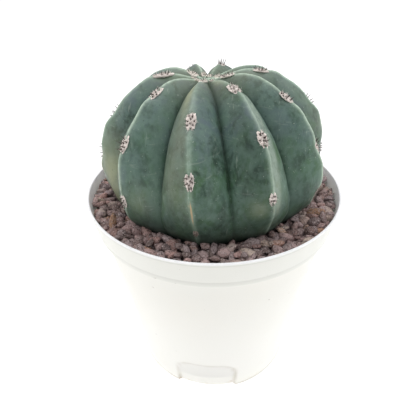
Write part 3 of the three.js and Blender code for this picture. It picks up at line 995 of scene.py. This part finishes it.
# The pot as one closed line turned about the axis: down the outside from the lip, under the foot ring to the
# middle of the floor, and back up the inside. A recess is a rectangle with rounded corners on the outside,
# whose border distance is |max(q, 0)| + min(max(q), 0) - corner, with q = (|u|, z) - half size + corner.
def potShell():
    form = potForm
    top, bandBottom = form["height"], form["height"] - form["bandHeight"]
    sideTop = bandBottom - form["beadHeight"]
    band = form["rimRadius"] - form["bandTaper"]
    wall, foot = form["wall"], form["footRadius"]
    beadRadius = band - form["beadStep"]
    lip, lipFoot = form["rimRadius"], top - form["lipHeight"]
    taper = lambda z: form["bandTaper"] * (top - z) / form["bandHeight"]
    spans = ((sideTop - form["sideEnds"], form["sideEnds"], form["sideLevels"]), *form["closeLevels"])
    levels = np.unique(np.concatenate([np.linspace(*span) for span in spans]).round(3))[::-1]
    side = np.column_stack([sideRadius(levels), levels])
    footTop = form["footHeight"] + form["footWall"] - wall
    innerLevels = np.linspace(footTop, sideTop - 1, 8)
    inner = np.column_stack([sideRadius(innerLevels) - wall, innerLevels])
    floor, floorTop = form["floorUnderside"], form["floorUnderside"] + form["floorThickness"]
    upper = [
        [lip - wall / 2, top, 0],
        [lip, top, form["lipRound"]],
        [lip - taper(lipFoot), lipFoot, 0.12],
        [lip - taper(lipFoot) - form["lipStep"], lipFoot - 0.12, 0.1],
        [lip - taper(lipFoot - 1.2) - form["lipStep"] * 0.3, lipFoot - 1.2, 0.5],
        [lip - form["bandTaper"] * 0.5, (top + bandBottom) / 2, 0.2],
        [band, bandBottom, 0.35],
        [beadRadius, bandBottom - 0.25, 0.2],
        [beadRadius, sideTop + form["beadRound"], 0.5],
        [beadRadius - form["beadRound"] * 1.6, sideTop - 0.1, 0.4],
        [form["sideTopRadius"], sideTop - 0.5, 0.35],
        [*side[0], 0],
    ]
    under = [
        [*side[-1], 0],
        [foot, 0, 0.45],
        [foot - form["footWall"] - 0.4, 0, 0.35],
        [foot - form["footWall"] - 1.2, floor, 0.3],
        *([ring, floor, 0.2] for ring in form["floorRings"]),
    ]
    within = [
        *([ring, floorTop, 0.2] for ring in reversed(form["floorRings"])),
        [sideRadius(0) - form["footWall"], floorTop, 0.4],
        [sideRadius(form["footHeight"]) - form["footWall"], form["footHeight"], 0.4],
        [*inner[0], 0],
    ]
    above = [
        [*inner[-1], 0],
        [beadRadius - form["beadRound"] - wall, sideTop + wall, 0.3],
        [band - wall, bandBottom + form["beadRound"], 0.4],
        [lip - wall, top, form["lipRound"]],
        [lip - wall / 2, top, 0],
    ]
    outside = np.concatenate([roundedLine(upper)[:-1], side[:-1], roundedLine(under)])
    line = np.concatenate([outside, roundedLine(within)[:-1], inner[:-1], roundedLine(above)[:-1]])
    azimuth = np.linspace(0, 360, form["columns"], endpoint=False)
    r = line[:, :1] * np.ones((1, len(azimuth)))
    z = line[:, 1:] * np.ones((1, len(azimuth)))
    isOutside = (np.arange(len(line)) < len(outside))[:, None]

    spacing = 360 / form["recessCount"]
    fromMiddle = np.abs((azimuth - form["recessAzimuth"] + spacing / 2) % spacing - spacing / 2)
    corner, halfWidth = form["recessCorner"], math.radians(form["recessWidth"] / 2) * foot
    qu = np.radians(fromMiddle)[None] * foot - halfWidth + corner
    qz = z - form["recessHeight"] + corner
    border = np.hypot(np.maximum(qu, 0), np.maximum(qz, 0)) + np.minimum(np.maximum(qu, qz), 0) - corner
    inRecess = smoothStep(-border, -form["recessSoft"] / 2, form["recessSoft"] / 2)
    deep, shallow = form["recessDepths"]
    depth = shallow + (deep - shallow) * smoothFall(z, *form["recessShallows"])
    r = r - depth * inRecess * isOutside * (r > foot - form["footWall"] * 0.6)
    lifted = isOutside * (r > foot - form["footWall"] - 1.1) * smoothFall(z, 0.5, 2.5)
    z = z + form["recessLift"] * inRecess * lifted
    grid = fromAxis(r, np.radians(azimuth)[None], z)

    marks = potMarks
    (stepShade, stepShadeWidth), (edge, edgeWidth) = marks["stepShade"], marks["recessEdge"]
    (standing, standingHeight), (dirt, dirtWidth) = marks["standing"], marks["cornerDirtAndShade"]
    # painted shade: thin grey lines just under the lip's step, the band and the bead
    stepShadeLevels = np.subtract((lipFoot, bandBottom, sideTop), marks["stepShadeDrops"])
    stepShades = sum(bell(z, level, stepShadeWidth) for level in stepShadeLevels)
    onWall = smoothStep(r, foot - form["footWall"] - 1, foot - form["footWall"])
    # dirt and painted shade in the recess's lower corners
    cornerDirtAndShade = dirt * onWall * bell(qu, corner, dirtWidth) * smoothFall(z, *marks["cornerDirtAndShadeEnds"])
    # painted shadow along the recess's edges
    recessEdgeShade = edge * bell(border, 0, edgeWidth) * smoothFall(z, *marks["recessEdgeEnds"]) * onWall
    values = {
        "rim": smoothStep(z - top, *marks["rim"]),
        "band": smoothStep(z - sideTop, *marks["band"]),
        # painted light from the floor, whiter towards the foot
        "lower": smoothFall(z, *marks["lower"]),
        "stepShade": stepShade * np.clip(stepShades, 0, 1) * isOutside,
        "shadeAndGrime": np.maximum(recessEdgeShade, standing * bell(z, 0, standingHeight)) * isOutside,
        "foot": (marks["dust"] * smoothFall(z, *marks["dustEnds"]) + cornerDirtAndShade) * isOutside,
    }
    faces = gridFaces(len(line), len(azimuth), bothWays=True)
    points, finish = grid.reshape(-1, 3), layeredFinish("white_plastic", potLook)
    return meshPiece("pot_shell", points, faces.tolist(), finish, "pot", values)


# The drain holes: round cutters through the floor, taken away from the pot.
def drainHoles(pot):
    form = potForm
    cutter, radius, length = bmesh.new(), form["drainRadius"] * mm, form["drainCut"] * mm
    cylinder = dict(cap_ends=True, segments=form["drainSides"], radius1=radius, radius2=radius, depth=length)
    for hole in range(form["drainCount"]):
        azimuth = math.radians(form["drainAzimuth"] + (hole + 0.5) * 360 / form["drainCount"])
        made = bmesh.ops.create_cone(cutter, **cylinder)
        way = (math.sin(azimuth), -math.cos(azimuth), form["floorUnderside"] / form["drainCircle"])
        bmesh.ops.translate(cutter, verts=made["verts"], vec=[form["drainCircle"] * mm * part for part in way])
    mesh = bpy.data.meshes.new("drain_cutter")
    cutter.to_mesh(mesh)
    cutter.free()
    tool = added("drain_cutter", mesh)
    modifier = pot.modifiers.new("drains", "BOOLEAN")
    modifier.operation, modifier.solver, modifier.object = "DIFFERENCE", "EXACT", tool
    finished = bpy.data.meshes.new_from_object(pot.evaluated_get(bpy.context.evaluated_depsgraph_get()))
    pot.modifiers.clear()
    pot.data = finished
    bpy.data.objects.remove(tool)
    print("drain holes cut,", len(finished.polygons), "faces")


drainHoles(potShell())


# The gravel: a bed, and granules heaped on it
gravelForm = {
    "bottom": 81.5,
    "bedTop": 84.6,
    "bedRows": 12,
    "bedInset": 1.6,
    "bedFoot": (0.2, 0.4),  # how far the bed's lower edges lie outside its inner and inside its outer radius
    "bedRoughness": (0.35, 3.0),  # height and length of its unevenness
    # the bed's tone, near the darkest stone: painted shade between the granules
    "bedShade": 0.08,
    "bedWarmth": 0.48,
    "radius": (1.5, 2.55),
    "smaller": 0.68,  # how much smaller the granules are that fill the gaps between the others
    "smallerFrom": 0.5,  # the share of the tries after which they come
    "smallerHigher": 0.35,  # how much higher a granule lies for each millimetre that it is smaller
    "apart": 0.64,  # how near two granules may come, as a share of their two radii
    "level": (84.9, 86.5),
    "stemBand": (86, 0.6),  # where the stem's outline is taken: a height, and how near to it
    "outer": 51.0,
    "inner": 34.0,
    "clearance": 0.12,  # between a granule and the pot's wall
    "nearStem": 0.45,  # how near a granule's middle may come to the stem, as a share of its radius
    "nearWall": 0.72,
    "planes": 9,
    "planeDistance": (0.5, 1.0),
    "reach": 0.85,  # one over how far a granule reaches where no plane cuts it
    "rounding": 16,  # the power of the mean that rounds a granule's edges
    "grain": 0.075,
    "stretch": ((1.15, 1.95), (0.8, 1.15), (0.55, 0.85)),
    "tilt": 0.45,
    "heap": (0.35, 22),  # height and length of the heap's own unevenness
    "tone": (0.62, 0.32),  # mean and spread
    "warm": (0.45, 0.38),
    "rust": (0.05, 0.3, 0.5, 0.05),  # the share that has it, its least, how much more, the others' most
    "pale": (0.13, 0.25, 0.45, 0.06),
    "tries": 12000,
    "seed": 21,
    "columns": 240,
}


# The bed under the granules: a closed ring whose section is a rectangle, its top uneven by soft noise. It is
# coloured almost as dark as the darkest stone: painted shade in the gaps between the granules.
def gravelBed(material):
    form = gravelForm
    azimuth = around(form["columns"])[None]
    rows, outer, inner = form["bedRows"], form["outer"] - form["bedInset"], form["inner"]
    innerFoot, outerFoot = form["bedFoot"]
    lower = [outer - outerFoot, inner + innerFoot]
    radii = np.concatenate([inner + (outer - inner) * np.linspace(0, 1, rows), lower])
    heights = np.concatenate([np.full(rows, form["bedTop"]), [form["bottom"], form["bottom"]]])
    r = radii[:, None] * np.ones_like(azimuth)
    z = heights[:, None] * np.ones_like(azimuth)
    flat = fromAxis(r, azimuth, z)
    roughness, length = form["bedRoughness"]
    z = z + (np.arange(len(radii)) < rows)[:, None] * roughness * softNoise(flat, length, form["seed"] + 5)
    grid = fromAxis(r, azimuth, z)
    faces = gridFaces(len(radii), form["columns"], bothWays=True)
    looks = {"tone": form["bedShade"], "rust": 0, "warm": form["bedWarmth"], "pale": 0}
    values = {key: np.full(grid.shape[:2], look) for key, look in looks.items()}
    points, outwards = grid.reshape(-1, 3), faces[:, ::-1].tolist()
    return meshPiece("gravel_bed", points, outwards, material, "lava_gravel", values)


lavaLook = {
    "darkStone": (0.12, 0.085, 0.082),
    "stone": (0.43, 0.335, 0.345),
    "warmStone": (0.55, 0.325, 0.295),
    "rust": (0.46, 0.23, 0.10),
    "paleStone": (0.66, 0.53, 0.43),
    "pore": (0.042, 0.026, 0.024),
    # pale specks on the stones, partly the rock's own grains and partly painted highlights
    "grain": (0.74, 0.63, 0.62),
    "layers": (
        ("rust", "rust"),
        ("paleStone", "pale"),
        ("pore", None, (1300, 4, 0.65), (0.36, 0.50, 0.8, 0)),
        # pale specks, partly the rock's grains and partly painted highlights
        ("grain", None, (2000, 3, 0.6), (0.52, 0.68, 0, 0.6)),
    ),
    "bumps": (((1000, 5, 0.7), 0.0008, 1.0),),
    "settings": {"Roughness": 0.9},
}


def lavaFinish():
    look = lavaLook
    f = Finish("lava_rock", look["settings"])
    warmed = f.blend(f.value("warm"), look["stone"], look["warmStone"])
    return f.ended(f.layers(f.blend(f.value("tone"), look["darkStone"], warmed), look), look)


# The stem's outline about the pot's axis: the azimuths and radii of the skin's points near a height.
def stemOutline(level, reach):
    co = np.zeros(len(skinPiece.data.vertices) * 3)
    skinPiece.data.vertices.foreach_get("co", co)
    points = co.reshape(-1, 3) / mm
    band = points[np.abs(points[:, 2] - level) < reach]
    azimuth = np.arctan2(band[:, 0], -band[:, 1])
    order = np.argsort(azimuth)
    return azimuth[order], np.hypot(band[:, 0], band[:, 1])[order]


# Granules: a ball cut by random planes, so that its radius is the least of the planes' distances divided by
# how squarely each faces the direction, softened by a power mean; then stretched, turned and set in the bed.
# Where one would reach into the pot's wall, it moves in towards the axis.
def granules(material):
    form = gravelForm
    rng = np.random.default_rng(form["seed"])
    edgeAzimuth, edgeRadius = stemOutline(*form["stemBand"])
    places, sizes = np.zeros((0, 2)), np.zeros(0)
    for attempt in range(form["tries"]):
        isFirst = attempt < form["tries"] * form["smallerFrom"]
        size = rng.uniform(*form["radius"]) * (1 if isFirst else form["smaller"])
        r = math.sqrt(rng.uniform(form["inner"] ** 2, form["outer"] ** 2))
        a = rng.uniform(-np.pi, np.pi)
        stem = np.interp(a, edgeAzimuth, edgeRadius, period=2 * np.pi)
        if r < stem + size * form["nearStem"] or r > form["outer"] - size * form["nearWall"]:
            continue
        place = np.array([[r * math.sin(a), -r * math.cos(a)]])
        if len(places) and (np.hypot(*(places - place).T) < (sizes + size) * form["apart"]).any():
            continue
        places, sizes = np.concatenate([places, place]), np.append(sizes, size)
    n = len(places)
    ball = bmesh.new()
    bmesh.ops.create_icosphere(ball, subdivisions=2, radius=1)
    unit = np.array([v.co[:] for v in ball.verts])
    cells = np.array([[v.index for v in face.verts] for face in ball.faces])
    ball.free()
    planes = unitWays(rng.normal(size=(n, form["planes"], 3)))
    distance = rng.uniform(*form["planeDistance"], (n, form["planes"]))
    facing = np.maximum(np.einsum("vk,npk->nvp", unit, planes), 0.02) / distance[:, None]
    facing = np.concatenate([facing, np.full((n, len(unit), 1), form["reach"])], -1)
    radius = 1 / (facing ** form["rounding"]).sum(-1) ** (1 / form["rounding"])
    shape = unit[None] * radius[..., None]
    shape = shape * (1 + form["grain"] * rng.normal(size=(n, len(unit), 1)))
    stretch = np.stack([rng.uniform(*reach, n) for reach in form["stretch"]], -1)
    upright = np.array([0, 0, 1.0]) + rng.normal(0, form["tilt"], (n, 3))
    ahead = np.cross(upright, rng.normal(size=(n, 3)))
    upright, ahead = unitWays(upright), unitWays(ahead)
    turning = np.stack([ahead, np.cross(upright, ahead), upright], 1)
    shape = np.einsum("nvk,nkj->nvj", shape * stretch[:, None] * sizes[:, None, None], turning)
    heapHeight, heapLength = form["heap"]
    heap = heapHeight * softNoise(np.column_stack([places, np.zeros(n)]), heapLength, form["seed"] + 7)
    level = rng.uniform(*form["level"], n) + heap + (sizes.mean() - sizes) * form["smallerHigher"]
    shape = shape + np.column_stack([places, level])[:, None]
    wall = innerRadius(shape[..., 2]) - form["clearance"]
    excess = np.maximum((np.hypot(shape[..., 0], shape[..., 1]) - wall).max(1), 0)
    inward = unitWays(places) * excess[:, None]
    shape = shape - np.column_stack([inward, np.zeros(n)])[:, None]
    faces = (np.arange(n)[:, None, None] * len(unit) + cells[None]).reshape(-1, 3)
    chance = rng.uniform(size=(4, n))
    tone, warm = (rng.normal(*form[key], n) for key in ("tone", "warm"))
    looks = {"tone": np.clip(tone, 0.05, 1), "warm": np.clip(warm, 0, 1)}
    for key, drawn, worth in (("rust", *chance[:2]), ("pale", *chance[2:])):
        share, least, more, others = form[key]
        looks[key] = np.where(drawn < share, least + more * worth, others * worth)
    values = {key: row[:, None] * np.ones((1, len(unit))) for key, row in looks.items()}
    points = shape.reshape(-1, 3)
    return meshPiece("lava_granules", points, faces.tolist(), material, "lava_gravel", values)


lavaRock = lavaFinish()
gravelBed(lavaRock)
granules(lavaRock)


# The potting mix: the CAD node stays, with a crumbly soil on it
soilLook = {
    "base": (0.020, 0.012, 0.008),
    "crumb": (0.085, 0.055, 0.035),
    "fibre": (0.23, 0.16, 0.10),
    "layers": (
        ("crumb", None, (260, 6, 0.7), (0.35, 0.65)),
        ("fibre", None, (700, 3, 0.6, (1, 0.3, 1)), (0.62, 0.75, 0, 0.6)),
    ),
    "bumps": (((420, 6, 0.7), 0.0012, 0.8),),
    "settings": {"Roughness": 0.95},
}

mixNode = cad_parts["potting_mix"]
mixNode.data.materials.clear()
mixNode.data.materials.append(layeredFinish("potting_soil", soilLook))
print("potting mix finished")


# The floor and the light, in metres
studio = {
    "floorSize": 9.0,
    "floorColour": (0.35, 0.35, 0.35),
    "floorShade": 0.995,
    "floorGlow": 0.84,
    "worldStrength": 0.52,
    "aim": (0, 0, 0.09),
    "lamps": (  # name, place, size, watts, colour
        ("overhead", (0.0, 0.12, 0.95), 1.0, 6.0, (1.0, 1.0, 1.0)),
        ("left", (-0.8, 0.05, 0.4), 0.8, 2.4, (1.0, 0.99, 0.965)),
        ("right", (0.8, 0.0, 0.4), 0.8, 2.4, (0.96, 0.99, 1.0)),
        ("front", (0.0, -0.95, 0.45), 1.1, 0.4, (1.0, 1.0, 1.0)),
    ),
}


# White paper that glows a little, its colour uneven by a very small share.
def floorFinish():
    colour = studio["floorColour"]
    glow = {"Emission Color": (1, 1, 1, 1), "Emission Strength": studio["floorGlow"]}
    f = Finish("floor_paper", {"Roughness": 0.9, **glow})
    return f.ended(f.blend(f.noise(6, 2), colour, [part * studio["floorShade"] for part in colour]), {})


half = studio["floorSize"] / 2
floorCorners = [(-half, -half, 0), (half, -half, 0), (half, half, 0), (-half, half, 0)]
floorMesh = bpy.data.meshes.new("floor")
floorMesh.from_pydata(floorCorners, [], [(0, 1, 2, 3)])
floorMesh.materials.append(floorFinish())
added("floor", floorMesh)

for name, place, size, watts, colour in studio["lamps"]:
    lampData = bpy.data.lights.new(name, "AREA")
    lampData.size, lampData.energy, lampData.color = size, watts, colour
    lamp = added(name, lampData)
    lamp.location = place
    aim = np.subtract(studio["aim"], place)
    yaw = math.atan2(aim[1], aim[0]) - math.pi / 2
    pitch = math.atan2(math.hypot(aim[0], aim[1]), -aim[2])
    lamp.rotation_euler = (pitch, 0, yaw)
    lamp.visible_camera = False

world = bpy.data.worlds.new("studio")
world.use_nodes = True
world.node_tree.nodes["Background"].inputs["Color"].default_value = (1, 1, 1, 1)
world.node_tree.nodes["Background"].inputs["Strength"].default_value = studio["worldStrength"]
bpy.context.scene.world = world
bpy.context.scene.view_settings.view_transform = "Standard"
print("floor and lights set")
